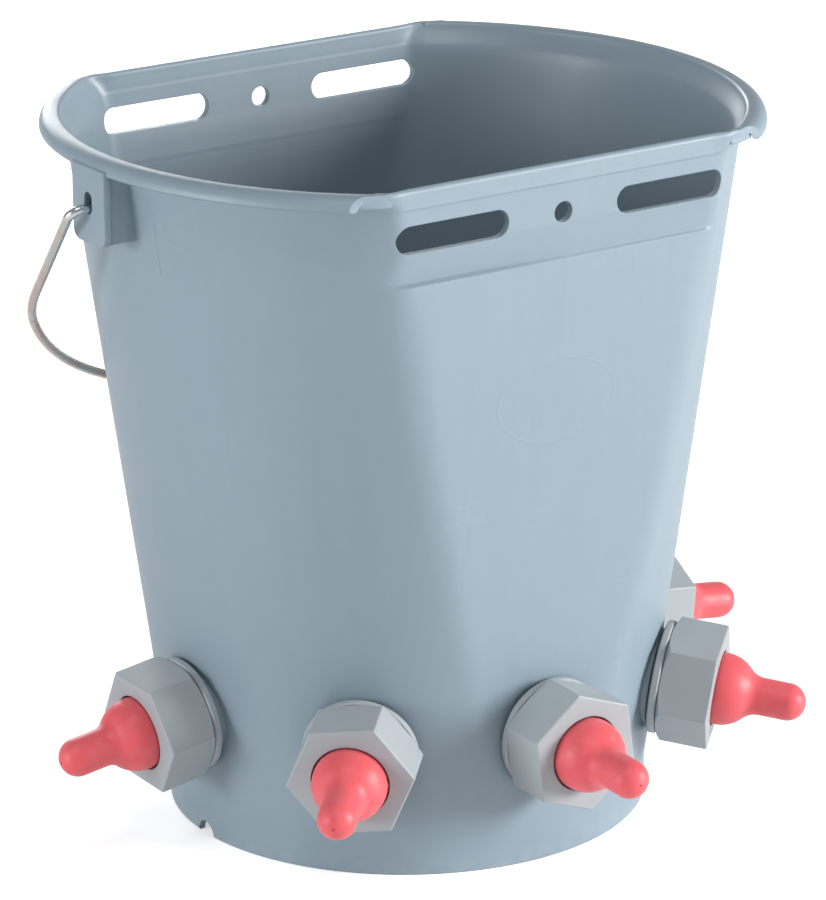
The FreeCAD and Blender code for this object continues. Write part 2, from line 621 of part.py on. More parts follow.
def union_nut(station):
    """Hexagon nut that clamps the teat's foot on the cup; its back corners are turned off."""
    corner = f"({nut_half} / cos(30 deg))"
    length = f"({nut_face} - {nut_back})"
    prism = solid("Part::Prism", f"nut_prism_{station}", ("0", "0", nut_back),
                  Circumradius=corner, Height=length)
    prism.Polygon = 6
    back = size(nut_back)

    def not_back(edge):
        return edge.BoundBox.ZMax > back + 1e-6

    blank = rounded(f"nut_blank_{station}", prism, at("nut_edge"), not_back)
    limit = turned(f"nut_limit_{station}", [
        ("0", nut_back),
        (f"{corner} - sizes.nut_chamfer * 1.5", nut_back),
        (f"{corner} + sizes.nut_edge", f"{nut_back} + sizes.nut_chamfer"),
        (f"{corner} + sizes.nut_edge", nut_face),
        ("0", nut_face),
    ])
    turned_blank = common(f"nut_turned_{station}", blank, limit)
    bore = joined(f"nut_bore_{station}", [
        solid("Part::Cylinder", f"nut_thread_{station}", ("0", "0", f"{nut_back} - sizes.nut_front"),
              Radius=f"{cup_radius} + sizes.thread_clearance",
              Height=f"{teat_seat} - {nut_back} + sizes.nut_front"),
        solid("Part::Cylinder", f"nut_mouth_{station}", ("0", "0", nut_back),
              Radius="sizes.bulb_diameter / 2 + sizes.bulb_clearance", Height=f"{length} * 2"),
    ])
    nut = cut(f"union_nut_{station}", turned_blank, bore)
    nut.Label = f"union_nut_{station}"
    nut.Placement = station_placement(station) * FreeCAD.Placement(
        FreeCAD.Vector(), FreeCAD.Rotation(FreeCAD.Vector(0, 0, 1), nut_turns[station]))
    return nut


sub_parts = bucket() + [bail_handle()]
for station_name in stations:
    for build_piece in (valve_body, wall_seal, lock_nut, valve_ball, ball_cage, teat, union_nut):
        sub_parts.append(build_piece(station_name))
doc.recompute()

for item in doc.Objects:
    if "Invalid" in item.State or "Error" in item.State:
        raise RuntimeError(f"{item.Label} failed: {item.State}")
for piece in sub_parts:
    if piece.Shape.isNull() or not piece.Shape.isValid() or len(piece.Shape.Solids) != 1:
        raise RuntimeError(f"{piece.Label} isn't one valid solid")

os.makedirs("parts", exist_ok=True)
for piece in sub_parts:
    piece.Shape.exportStep(os.path.join("parts", f"{piece.Label}.step"))
    print(f"{piece.Label}: {piece.Shape.Volume / 1000:.2f} cm3")
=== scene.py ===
import json
import math

import bpy
from mathutils import Matrix, Vector

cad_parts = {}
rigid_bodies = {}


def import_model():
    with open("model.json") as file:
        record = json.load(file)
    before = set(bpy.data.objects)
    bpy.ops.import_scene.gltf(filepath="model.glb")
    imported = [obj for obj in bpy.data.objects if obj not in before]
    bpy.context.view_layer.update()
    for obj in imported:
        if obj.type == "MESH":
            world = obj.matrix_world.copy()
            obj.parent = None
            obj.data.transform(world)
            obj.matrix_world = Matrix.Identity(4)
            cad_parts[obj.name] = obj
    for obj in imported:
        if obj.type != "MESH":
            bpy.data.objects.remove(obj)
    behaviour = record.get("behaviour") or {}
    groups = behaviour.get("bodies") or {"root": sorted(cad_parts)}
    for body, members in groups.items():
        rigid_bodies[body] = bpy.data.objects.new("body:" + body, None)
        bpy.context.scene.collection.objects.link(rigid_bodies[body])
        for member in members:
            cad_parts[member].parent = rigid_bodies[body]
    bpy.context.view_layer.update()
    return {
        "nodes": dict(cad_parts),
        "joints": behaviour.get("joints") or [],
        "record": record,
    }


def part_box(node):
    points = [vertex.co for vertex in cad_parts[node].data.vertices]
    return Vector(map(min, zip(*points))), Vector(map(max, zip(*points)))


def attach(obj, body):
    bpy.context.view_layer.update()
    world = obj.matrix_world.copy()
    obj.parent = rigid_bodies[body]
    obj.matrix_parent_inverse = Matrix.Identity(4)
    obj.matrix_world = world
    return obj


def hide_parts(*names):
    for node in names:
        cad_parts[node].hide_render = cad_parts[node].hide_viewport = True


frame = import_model()
record = frame["record"]
mounts = {mount["name"]: mount for mount in record["mounts"]}
joints = {joint["name"]: joint for joint in frame["joints"]}
stations = ["left", "front_left", "front", "front_right", "right"]
rootBody = "bucket_with_fittings"
print("frame loaded")


# small tools for working in edit mode
def deselectAll():
    for item in bpy.context.view_layer.objects:
        item.select_set(False)


def makeActive(piece):
    deselectAll()
    piece.select_set(True)
    bpy.context.view_layer.objects.active = piece


def named(piece, name):
    piece.name = name
    piece.data.name = name
    return piece


def editing(piece):
    makeActive(piece)
    bpy.ops.object.mode_set(mode="EDIT")


def doneEditing():
    bpy.ops.object.mode_set(mode="OBJECT")


def pickVertices(piece, test):
    # leaves edit mode with the chosen vertices selected, then goes back in
    editing(piece)
    bpy.ops.mesh.select_mode(type="VERT")
    bpy.ops.mesh.select_all(action="DESELECT")
    doneEditing()
    for vertex in piece.data.vertices:
        vertex.select = test(vertex.co)
    bpy.ops.object.mode_set(mode="EDIT")


def pickEdges(piece, test):
    editing(piece)
    bpy.ops.mesh.select_mode(type="EDGE")
    bpy.ops.mesh.select_all(action="DESELECT")
    doneEditing()
    places = piece.data.vertices
    for edge in piece.data.edges:
        edge.select = test(places[edge.vertices[0]].co, places[edge.vertices[1]].co)
    bpy.ops.object.mode_set(mode="EDIT")


def applyPlace(piece):
    makeActive(piece)
    bpy.ops.object.transform_apply(location=True, rotation=True, scale=True)


def drawProfile(name, points, closed):
    # one vertex, extruded from point to point in the XZ plane
    bpy.ops.mesh.primitive_plane_add(size=0.01)
    piece = named(bpy.context.object, name)
    editing(piece)
    bpy.ops.mesh.merge(type="CENTER")
    first = Vector((points[0][0], 0, points[0][1]))
    bpy.ops.transform.translate(value=first)
    previous = first
    for x, z in points[1:]:
        place = Vector((x, 0, z))
        bpy.ops.mesh.extrude_region_move(TRANSFORM_OT_translate={"value": place - previous})
        previous = place
    if closed:
        bpy.ops.mesh.select_all(action="SELECT")
        bpy.ops.mesh.edge_face_add()
        bpy.ops.mesh.delete(type="ONLY_FACE")
    doneEditing()
    return piece


def spinProfile(piece, steps):
    editing(piece)
    bpy.ops.mesh.select_all(action="SELECT")
    bpy.ops.mesh.spin(steps=steps, angle=math.tau, center=(0, 0, 0), axis=(0, 0, 1))
    bpy.ops.mesh.select_all(action="SELECT")
    bpy.ops.mesh.remove_doubles(threshold=1e-6)
    bpy.ops.mesh.normals_make_consistent(inside=False)
    doneEditing()


def arcPoints(centre, radius, startDeg, endDeg, count):
    points = []
    for number in range(count + 1):
        angle = math.radians(startDeg + (endDeg - startDeg) * number / count)
        points.append((centre[0] + radius * math.cos(angle), centre[1] + radius * math.sin(angle)))
    return points


def addBlock(name, low, high):
    low, high = Vector(low), Vector(high)
    bpy.ops.mesh.primitive_cube_add(size=1, location=(low + high) / 2)
    piece = named(bpy.context.object, name)
    bpy.ops.transform.resize(value=high - low)
    applyPlace(piece)
    return piece


def addRod(name, radius, start, direction, length, vertices):
    direction = Vector(direction).normalized()
    middle = Vector(start) + direction * length / 2
    turn = direction.to_track_quat("Z", "Y").to_euler()
    bpy.ops.mesh.primitive_cylinder_add(vertices=vertices, radius=radius, depth=length,
                                        location=middle, rotation=turn)
    piece = named(bpy.context.object, name)
    applyPlace(piece)
    return piece


def bevelEdges(piece, test, width, segments):
    pickEdges(piece, test)
    bpy.ops.mesh.bevel(offset=width, segments=segments, affect="EDGES", clamp_overlap=False)
    doneEditing()


def joinPieces(name, pieces):
    deselectAll()
    for piece in pieces:
        piece.select_set(True)
    bpy.context.view_layer.objects.active = pieces[0]
    bpy.ops.object.join()
    return named(bpy.context.object, name)


def combine(piece, tool, operation):
    makeActive(piece)
    modifier = piece.modifiers.new(operation.lower(), "BOOLEAN")
    modifier.operation = operation
    modifier.solver = "EXACT"
    modifier.use_self = True
    modifier.object = tool
    bpy.ops.object.modifier_apply(modifier=modifier.name)
    bpy.data.objects.remove(tool)


def stationMatrix(station):
    # local Z runs out along the teat, local X lies level
    joint = joints[f"nut_turn_{station}"]
    outward = Vector(joint["axis"]).normalized()
    level = Vector((-outward.y, outward.x, 0)).normalized()
    turn = Matrix((level, outward.cross(level), outward)).transposed()
    return Matrix.Translation(joint["pos_m"]) @ turn.to_4x4()


def localSpan(node, station):
    # reach of a CAD node along its station's axis, and its greatest radius about it
    back = stationMatrix(station).inverted()
    places = [back @ vertex.co for vertex in frame["nodes"][node].data.vertices]
    radius = max(math.hypot(place.x, place.y) for place in places)
    return min(place.z for place in places), max(place.z for place in places), radius


# node helpers, then the effects that several finishes share
def addNode(tree, kind, values=None, **settings):
    node = tree.nodes.new(kind)
    for key, value in settings.items():
        setattr(node, key, value)
    for socket, value in (values or {}).items():
        if isinstance(value, bpy.types.NodeSocket):
            tree.links.new(value, node.inputs[socket])
        else:
            node.inputs[socket].default_value = value
    return node


def noise(tree, vector, scale, detail=2.0, distortion=0.0):
    return addNode(tree, "ShaderNodeTexNoise", {"Vector": vector, "Scale": scale, "Detail": detail,
                                                "Distortion": distortion}).outputs["Fac"]


def stretch(tree, vector, scale, turn=(0, 0, 0)):
    return addNode(tree, "ShaderNodeMapping", {"Vector": vector, "Scale": scale,
                                               "Rotation": turn}).outputs["Vector"]


def rerange(tree, value, low, high, newLow=0.0, newHigh=1.0):
    return addNode(tree, "ShaderNodeMapRange", {"Value": value, "From Min": low, "From Max": high,
                                                "To Min": newLow, "To Max": newHigh}).outputs["Result"]


def calc(tree, operation, first, second=0.0):
    return addNode(tree, "ShaderNodeMath", {0: first, 1: second}, operation=operation).outputs[0]


def blend(tree, share, first, second, mode="MIX"):
    node = tree.nodes.new("ShaderNodeMix")
    node.data_type = "RGBA"
    node.blend_type = mode
    for socket, value in ((node.inputs[0], share), (node.inputs[6], first), (node.inputs[7], second)):
        if isinstance(value, bpy.types.NodeSocket):
            tree.links.new(value, socket)
        else:
            socket.default_value = value
    return node.outputs[2]


def ramp(tree, value, stops):
    node = addNode(tree, "ShaderNodeValToRGB", {"Fac": value})
    elements = node.color_ramp.elements
    for number, (place, colour) in enumerate(stops):
        element = elements[number] if number < 2 else elements.new(place)
        element.position = place
        element.color = colour
    return node.outputs["Color"]


def startGroup(name, inputs, outputs):
    group = bpy.data.node_groups.new(name, "ShaderNodeTree")
    for socket, kind, value in inputs:
        made = group.interface.new_socket(name=socket, in_out="INPUT", socket_type=kind)
        if value is not None:
            made.default_value = value
    for socket, kind in outputs:
        group.interface.new_socket(name=socket, in_out="OUTPUT", socket_type=kind)
    start = group.nodes.new("NodeGroupInput")
    end = group.nodes.new("NodeGroupOutput")
    return group, start.outputs, end.inputs


def useGroup(tree, group, values):
    node = tree.nodes.new("ShaderNodeGroup")
    node.node_tree = group
    for socket, value in values.items():
        if isinstance(value, bpy.types.NodeSocket):
            tree.links.new(value, node.inputs[socket])
        else:
            node.inputs[socket].default_value = value
    return node.outputs


def makeMouldGrain():
    # the fine matt skin of a moulding, over a slower orange-peel wave
    group, given, result = startGroup(
        "mouldGrain",
        [("Vector", "NodeSocketVector", None), ("Grain Scale", "NodeSocketFloat", 1800.0),
         ("Wave Scale", "NodeSocketFloat", 90.0), ("Wave Share", "NodeSocketFloat", 0.5)],
        [("Height", "NodeSocketFloat")])
    fine = noise(group, given["Vector"], given["Grain Scale"])
    wave = noise(group, given["Vector"], given["Wave Scale"], 1.0)
    waved = calc(group, "MULTIPLY", wave, given["Wave Share"])
    group.links.new(calc(group, "ADD", calc(group, "MULTIPLY", fine, 0.25), waved), result["Height"])
    return group


def makeHandlingMarks():
    # sparse hairlines, drawn where a stretched and warped noise crosses its middle value
    group, given, result = startGroup(
        "handlingMarks",
        [("Vector", "NodeSocketVector", None), ("Scale", "NodeSocketFloat", 60.0),
         ("Amount", "NodeSocketFloat", 0.5)],
        [("Mask", "NodeSocketFloat")])
    lines = None
    for turn, long in (((0.3, 0.2, 0.5), (1.0, 1.0, 0.07)), ((1.1, 0.7, 0.2), (0.08, 1.0, 1.0))):
        along = stretch(group, given["Vector"], long, turn)
        field = noise(group, along, given["Scale"], 3.0, 0.4)
        away = calc(group, "ABSOLUTE", calc(group, "SUBTRACT", field, 0.5))
        line = rerange(group, away, 0.0, 0.006, 1.0, 0.0)
        lines = line if lines is None else calc(group, "MAXIMUM", lines, line)
    patch = rerange(group, noise(group, given["Vector"], 23.0, 3.0), 0.52, 0.68)
    mask = calc(group, "MULTIPLY", calc(group, "MULTIPLY", lines, patch), given["Amount"])
    group.links.new(mask, result["Mask"])
    return group


def makeToneDrift():
    # slow cloudy change of tone, as uneven pigment gives
    group, given, result = startGroup(
        "toneDrift",
        [("Color", "NodeSocketColor", None), ("Vector", "NodeSocketVector", None),
         ("Scale", "NodeSocketFloat", 9.0), ("Strength", "NodeSocketFloat", 0.06)],
        [("Color", "NodeSocketColor")])
    cloud = noise(group, given["Vector"], given["Scale"], 4.0)
    swing = calc(group, "MULTIPLY", calc(group, "SUBTRACT", cloud, 0.5), given["Strength"])
    value = calc(group, "ADD", calc(group, "MULTIPLY", swing, 2.0), 1.0)
    shifted = addNode(group, "ShaderNodeHueSaturation", {"Color": given["Color"], "Value": value})
    group.links.new(shifted.outputs["Color"], result["Color"])
    return group


def makeSettledDust():
    # a pale film low down, broken up by noise
    group, given, result = startGroup(
        "settledDust",
        [("Vector", "NodeSocketVector", None), ("Top", "NodeSocketFloat", 0.03),
         ("Amount", "NodeSocketFloat", 0.4)],
        [("Mask", "NodeSocketFloat")])
    height = addNode(group, "ShaderNodeSeparateXYZ", {"Vector": given["Vector"]}).outputs["Z"]
    share = calc(group, "SUBTRACT", 1.0, calc(group, "DIVIDE", height, given["Top"]))
    low = calc(group, "MAXIMUM", share, 0.0)
    spots = rerange(group, noise(group, given["Vector"], 140.0, 5.0), 0.4, 0.75)
    mask = calc(group, "MULTIPLY", calc(group, "MULTIPLY", low, spots), given["Amount"])
    group.links.new(mask, result["Mask"])
    return group


def makeEdgeWear():
    # softened normals at an edge, and a mask of where they differ from the flat ones
    group, given, result = startGroup(
        "edgeWear",
        [("Radius", "NodeSocketFloat", 0.0006), ("Vector", "NodeSocketVector", None)],
        [("Mask", "NodeSocketFloat"), ("Normal", "NodeSocketVector")])
    soft = addNode(group, "ShaderNodeBevel", {"Radius": given["Radius"]}, samples=4).outputs["Normal"]
    plain = addNode(group, "ShaderNodeNewGeometry").outputs["Normal"]
    turned = addNode(group, "ShaderNodeVectorMath", {0: soft, 1: plain}, operation="DOT_PRODUCT")
    edge = rerange(group, turned.outputs["Value"], 0.97, 0.75)
    broken = rerange(group, noise(group, given["Vector"], 320.0, 4.0), 0.35, 0.65)
    group.links.new(calc(group, "MULTIPLY", edge, broken), result["Mask"])
    group.links.new(soft, result["Normal"])
    return group


mouldGrain = makeMouldGrain()
handlingMarks = makeHandlingMarks()
toneDrift = makeToneDrift()
settledDust = makeSettledDust()
edgeWear = makeEdgeWear()


def startMaterial(name, roughness, **sockets):
    material = bpy.data.materials.new(name)
    material.use_nodes = True
    tree = material.node_tree
    shader = tree.nodes["Principled BSDF"]
    shader.inputs["Roughness"].default_value = roughness
    for socket, value in sockets.items():
        shader.inputs[socket.replace("_", " ")].default_value = value
    place = tree.nodes.new("ShaderNodeTexCoord").outputs["Object"]
    return material, tree, shader.inputs, place


def addBump(tree, height, strength, distance, normal=None):
    values = {"Height": height, "Strength": strength, "Distance": distance}
    if normal is not None:
        values["Normal"] = normal
    return addNode(tree, "ShaderNodeBump", values).outputs["Normal"]


bucketFinish = {
    "colour": (0.246, 0.323, 0.380, 1),
    "streak": (0.285, 0.375, 0.43, 1),
    "scuff": (0.52, 0.58, 0.63, 1),
    "oval": {"level": 0.2088, "halfWidth": 0.0295, "halfHeight": 0.018, "line": 0.0006},
    "seam": {"y": -0.02505, "low": 0.2635, "high": 0.2865, "line": 0.00022},
    "dust": (0.62, 0.63, 0.62, 1),
    "seamPaintedShade": (0.06, 0.09, 0.11, 1),
    "roughness": 0.40,
}


def ovalLine(tree, place):
    # faint raised outline of the blank oval on the front flat
    oval = bucketFinish["oval"]
    parts = addNode(tree, "ShaderNodeSeparateXYZ", {"Vector": place}).outputs
    across = calc(tree, "DIVIDE", parts["X"], oval["halfWidth"])
    up = calc(tree, "DIVIDE", calc(tree, "SUBTRACT", parts["Z"], oval["level"]), oval["halfHeight"])
    squares = [calc(tree, "POWER", calc(tree, "ABSOLUTE", part), 2.0) for part in (across, up)]
    reach = calc(tree, "SQRT", calc(tree, "ADD", *squares))
    away = calc(tree, "ABSOLUTE", calc(tree, "SUBTRACT", reach, 1.0))
    line = rerange(tree, away, 0.0, oval["line"] / oval["halfHeight"], 1.0, 0.0)
    front = calc(tree, "LESS_THAN", parts["Y"], -0.09)
    return calc(tree, "MULTIPLY", line, front)


def seamLine(tree, place):
    # hairline of the mould's parting beside the left bail lug, cut in as a fine groove and darkened
    # there with painted shade
    seam = bucketFinish["seam"]
    parts = addNode(tree, "ShaderNodeSeparateXYZ", {"Vector": place}).outputs
    away = calc(tree, "ABSOLUTE", calc(tree, "SUBTRACT", parts["Y"], seam["y"]))
    line = rerange(tree, away, 0.0, seam["line"], 1.0, 0.0)
    left = calc(tree, "LESS_THAN", parts["X"], -0.13)
    over = calc(tree, "GREATER_THAN", parts["Z"], seam["low"])
    under = calc(tree, "LESS_THAN", parts["Z"], seam["high"])
    line = calc(tree, "MULTIPLY", line, left)
    return calc(tree, "MULTIPLY", line, calc(tree, "MULTIPLY", over, under))


def makeBucketPlastic():
    finish = bucketFinish
    material, tree, shader, place = startMaterial("bucketPlastic", finish["roughness"], IOR=1.49)
    edge = useGroup(tree, edgeWear, {"Radius": 0.0007, "Vector": place})
    marks = useGroup(tree, handlingMarks, {"Vector": place, "Scale": 55.0, "Amount": 0.10})["Mask"]
    dust = useGroup(tree, settledDust, {"Vector": place, "Top": 0.010, "Amount": 0.16})["Mask"]
    colour = useGroup(tree, toneDrift, {"Color": finish["colour"], "Vector": place, "Scale": 7.0,
                                        "Strength": 0.05})["Color"]
    # upright streaks where the melt ran down the mould
    streak = noise(tree, stretch(tree, place, (1, 1, 0.035)), 150.0, 3.0, 0.2)
    flow = rerange(tree, streak, 0.35, 0.65)
    colour = blend(tree, calc(tree, "MULTIPLY", flow, 0.10), colour, finish["streak"])
    colour = blend(tree, calc(tree, "MULTIPLY", edge["Mask"], 0.25), colour, finish["scuff"])
    colour = blend(tree, calc(tree, "MULTIPLY", marks, 0.6), colour, finish["scuff"])
    colour = blend(tree, dust, colour, finish["dust"])
    seam = seamLine(tree, place)
    # painted shade: near-black mixed in along the parting groove, where shade would fall in it
    colour = blend(tree, calc(tree, "MULTIPLY", seam, 0.55), colour, finish["seamPaintedShade"])
    tree.links.new(colour, shader["Base Color"])
    rough = rerange(tree, noise(tree, place, 26.0, 3.0), 0.3, 0.7, finish["roughness"] - 0.04,
                    finish["roughness"] + 0.05)
    rough = calc(tree, "ADD", rough, calc(tree, "MULTIPLY", calc(tree, "ADD", marks, dust), 0.25))
    tree.links.new(rough, shader["Roughness"])
    grain = useGroup(tree, mouldGrain, {"Vector": place, "Grain Scale": 1900.0, "Wave Scale": 42.0,
                                        "Wave Share": 1.0})["Height"]
    height = calc(tree, "SUBTRACT", calc(tree, "ADD", grain, calc(tree, "MULTIPLY", flow, 0.12)),
                  calc(tree, "MULTIPLY", marks, 0.3))
    height = calc(tree, "ADD", height, calc(tree, "MULTIPLY", ovalLine(tree, place), 0.45))
    height = calc(tree, "SUBTRACT", height, calc(tree, "MULTIPLY", seam, 0.8))
    tree.links.new(addBump(tree, height, 0.35, 0.00035, edge["Normal"]), shader["Normal"])
    return material


fittingFinish = {
    "colour": (0.365, 0.405, 0.432, 1),
    "scuff": (0.60, 0.63, 0.65, 1),
    "roughness": 0.43,
}


def makeFittingPlastic():
    finish = fittingFinish
    material, tree, shader, place = startMaterial("fittingPlastic", finish["roughness"], IOR=1.5)
    edge = useGroup(tree, edgeWear, {"Radius": 0.0005, "Vector": place})
    marks = useGroup(tree, handlingMarks, {"Vector": place, "Scale": 130.0, "Amount": 0.4})["Mask"]
    colour = useGroup(tree, toneDrift, {"Color": finish["colour"], "Vector": place, "Scale": 30.0,
                                        "Strength": 0.06})["Color"]
    colour = blend(tree, calc(tree, "MULTIPLY", edge["Mask"], 0.45), colour, finish["scuff"])
    colour = blend(tree, calc(tree, "MULTIPLY", marks, 0.6), colour, finish["scuff"])
    tree.links.new(colour, shader["Base Color"])
    rough = rerange(tree, noise(tree, place, 90.0, 3.0), 0.3, 0.7, finish["roughness"] - 0.05,
                    finish["roughness"] + 0.06)
    tree.links.new(calc(tree, "ADD", rough, calc(tree, "MULTIPLY", marks, 0.2)), shader["Roughness"])
    grain = useGroup(tree, mouldGrain, {"Vector": place, "Grain Scale": 2600.0, "Wave Scale": 170.0,
                                        "Wave Share": 0.6})["Height"]
    tree.links.new(addBump(tree, grain, 0.3, 0.00018, edge["Normal"]), shader["Normal"])
    return material


teatFinish = {
    "colour": (0.77, 0.105, 0.125, 1),
    "bloom": (0.80, 0.28, 0.30, 1),
    "roughness": 0.46,
}


def makeTeatRubber():
    finish = teatFinish
    material, tree, shader, place = startMaterial(
        "teatRubber", finish["roughness"], IOR=1.47, Subsurface_Weight=0.12, Subsurface_Scale=0.003,
        Sheen_Weight=0.12, Sheen_Roughness=0.4)
    marks = useGroup(tree, handlingMarks, {"Vector": place, "Scale": 170.0, "Amount": 0.3})["Mask"]
    colour = useGroup(tree, toneDrift, {"Color": finish["colour"], "Vector": place, "Scale": 40.0,
                                        "Strength": 0.05})["Color"]
    # powdery bloom on the rubber, in soft patches
    bloom = rerange(tree, noise(tree, place, 150.0, 5.0), 0.45, 0.8, 0.0, 0.16)
    powder = calc(tree, "ADD", bloom, calc(tree, "MULTIPLY", marks, 0.3))
    colour = blend(tree, powder, colour, finish["bloom"])
    tree.links.new(colour, shader["Base Color"])
    rough = rerange(tree, noise(tree, place, 210.0, 3.0), 0.3, 0.7, finish["roughness"] - 0.06,
                    finish["roughness"] + 0.08)
    tree.links.new(rough, shader["Roughness"])
    grain = useGroup(tree, mouldGrain, {"Vector": place, "Grain Scale": 3000.0, "Wave Scale": 260.0,
                                        "Wave Share": 0.5})["Height"]
    tree.links.new(addBump(tree, grain, 0.3, 0.00016), shader["Normal"])
    return material


wireFinish = {
    "zinc": (0.66, 0.645, 0.60, 1),
    "pink": (0.70, 0.52, 0.47, 1),
    "green": (0.60, 0.63, 0.42, 1),
    "blue": (0.58, 0.64, 0.68, 1),
    "roughness": 0.24,
}


def makeBailWire():
    finish = wireFinish
    material, tree, shader, place = startMaterial("bailWire", finish["roughness"], Metallic=1.0)
    # patchy rainbow film of the passivated zinc
    film = noise(tree, place, 42.0, 3.0, 0.4)
    colour = ramp(tree, film, [(0.30, finish["blue"]), (0.72, finish["green"]), (0.42, finish["zinc"]),
                               (0.52, finish["pink"]), (0.62, finish["zinc"])])
    marks = useGroup(tree, handlingMarks, {"Vector": place, "Scale": 260.0, "Amount": 0.7})["Mask"]
    colour = blend(tree, marks, colour, (0.80, 0.80, 0.78, 1))
    tree.links.new(colour, shader["Base Color"])
    rough = rerange(tree, noise(tree, place, 260.0, 3.0), 0.3, 0.7, finish["roughness"] - 0.04,
                    finish["roughness"] + 0.06)
    tree.links.new(rough, shader["Roughness"])
    grain = useGroup(tree, mouldGrain, {"Vector": place, "Grain Scale": 4200.0, "Wave Scale": 300.0,
                                        "Wave Share": 0.5})["Height"]
    tree.links.new(addBump(tree, grain, 0.12, 0.0001), shader["Normal"])
    return material


sealFinish = {"colour": (0.028, 0.028, 0.03, 1), "dust": (0.22, 0.22, 0.21, 1), "roughness": 0.62}


def makeSealRubber():
    finish = sealFinish
    material, tree, shader, place = startMaterial("sealRubber", finish["roughness"])
    colour = useGroup(tree, toneDrift, {"Color": finish["colour"], "Vector": place, "Scale": 60.0,
                                        "Strength": 0.2})["Color"]
    chalk = rerange(tree, noise(tree, place, 420.0, 5.0), 0.5, 0.85, 0.0, 0.35)
    tree.links.new(blend(tree, chalk, colour, finish["dust"]), shader["Base Color"])
    grain = useGroup(tree, mouldGrain, {"Vector": place, "Grain Scale": 3600.0, "Wave Scale": 300.0,
                                        "Wave Share": 0.3})["Height"]
    tree.links.new(addBump(tree, grain, 0.4, 0.0001), shader["Normal"])
    return material


ballFinish = {"colour": (0.80, 0.80, 0.77, 1), "stain": (0.66, 0.62, 0.52, 1), "roughness": 0.2}


def makeBallPlastic():
    finish = ballFinish
    material, tree, shader, place = startMaterial("ballPlastic", finish["roughness"])
    stain = rerange(tree, noise(tree, place, 300.0, 4.0), 0.5, 0.8, 0.0, 0.5)
    tree.links.new(blend(tree, stain, finish["colour"], finish["stain"]), shader["Base Color"])
    rough = rerange(tree, noise(tree, place, 700.0, 2.0), 0.3, 0.7, finish["roughness"] - 0.06,
                    finish["roughness"] + 0.1)
    tree.links.new(rough, shader["Roughness"])
    return material


finishes = {
    "bucket_plastic": makeBucketPlastic(),
    "fitting_plastic": makeFittingPlastic(),
    "teat_rubber": makeTeatRubber(),
    "bail_wire": makeBailWire(),
    "seal_rubber": makeSealRubber(),
    "ball_plastic": makeBallPlastic(),
}


def dressNodes():
    for part in record["subparts"]:
        node = frame["nodes"][part["node"]]
        for slot in node.material_slots:
            slot.material = finishes[part["material_slot"]]


dressNodes()
print("finishes made:", len(finishes))


bucketForm = {
    "wall": 0.003,             # thickness of wall, flats and rim
    "footHeight": 0.016,
    "mouthRadius": 0.1451,     # outside of the wall at the mouth, without the rim
    "floorLevel": 0.016,
    "floorThickness": 0.003,
    "floorCorner": 0.006,
    "rimSkirt": 0.0062,        # how far the hooked rim hangs down
    "rimRoll": 0.0058,
    "rimFlare": 0.004,         # how far the wall leans out under the rim
    "rimEnd": 0.1157,          # distance of the cut rim ends from the middle
    "flatFootGap": 0.00015,
    "creaseLevel": 0.270,
    "flatDepthCrease": 0.0236,
    "creaseLedge": 0.0012,
    "ledgeExtra": 0.0013,      # the ledge is deeper towards one end of each flat
    "leanHeight": 0.016,
    "flatDepthSlot": 0.0242,
    "bandEdge": 0.009,
    "bandProud": 0.0006,
    "cornerSoft": 0.026,       # rounding between flats and round wall, below the band
    "cornerCrisp": 0.006,      # and at the mouth
    "turnSteps": 360,
    "wallLevels": 26,
    "bandLevels": (0.292, 0.298),            # rings of the mesh on the hanging band
    "rimLevels": (0.3065, 0.3085, 0.310),    # and where the wall leans out under the rim
    "lugPlate": 0.0033,        # bail lugs: a plate on two webs
    "lugWidth": 0.0258,
    "lugDrop": 0.037,
    "lugCorner": 0.005,
    "lugWeb": 0.0026,
    "lugWebInset": 0.0013,
    "plateDrop": 0.0042,
    "webDrop": 0.0055,
    "eyeWidth": 0.006,
    "eyeHeight": 0.0094,
    "eyeDrop": 0.0196,
    "padRadius": 0.021,        # raised pad round each teat station
    "padProud": 0.0006,
    "padDepth": 0.0052,
    "holeRadius": 0.0123,
    "notchRadius": 0.006,
    "edgeRound": 0.0004,
    "endHeight": 0.0058,       # blocks that close the cut ends of the rim
    "endRoll": 0.0036,
    "endInner": 0.0892,
    "endOuter": 0.0985,
    "endTaper": 0.005,
}
bucketLow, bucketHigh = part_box("bucket")
footRadius = mounts["foot"]["dims"]["r_mm"] / 1000
mouthLevel = bucketHigh.z
lugFace = bucketHigh.x
rimRadius = lugFace - 0.0007
slotDims = mounts["front_hang_slots"]["dims"]
slotLevel = mounts["front_hang_slots"]["pos_m"][2]


def wallRadius(level):
    form = bucketForm
    slope = (form["mouthRadius"] - footRadius) / (mouthLevel - form["footHeight"])
    return footRadius + (level - form["footHeight"]) * slope


def flatSteps():
    # levels and distances where a flat changes its lean
    form = bucketForm
    crease = wallRadius(form["creaseLevel"]) - form["flatDepthCrease"]
    slot = wallRadius(slotLevel) - form["flatDepthSlot"]
    edge = mouthLevel - form["bandEdge"]
    return [
        (form["footHeight"], footRadius + form["flatFootGap"]),
        (form["creaseLevel"], crease),
        (form["creaseLevel"] + form["creaseLedge"], crease - form["creaseLedge"]),
        (form["creaseLevel"] + form["leanHeight"], slot - form["bandProud"]),
        (edge, slot + form["bandProud"] / 2),
        (edge + form["bandProud"], slot + form["bandProud"] * 1.5),
        (mouthLevel, slot + form["bandProud"] * 1.5),
    ]


def flatDistance(level, steps):
    for (lowLevel, low), (highLevel, high) in zip(steps, steps[1:]):
        if level <= highLevel:
            return low + (high - low) * (level - lowLevel) / (highLevel - lowLevel)
    return steps[-1][1]


def insideFlat(level, steps):
    # the inside keeps none of the crisp crease
    spread = [flatDistance(level + shift, steps) for shift in (-0.008, -0.004, 0, 0.004, 0.008)]
    return sum(spread) / len(spread)


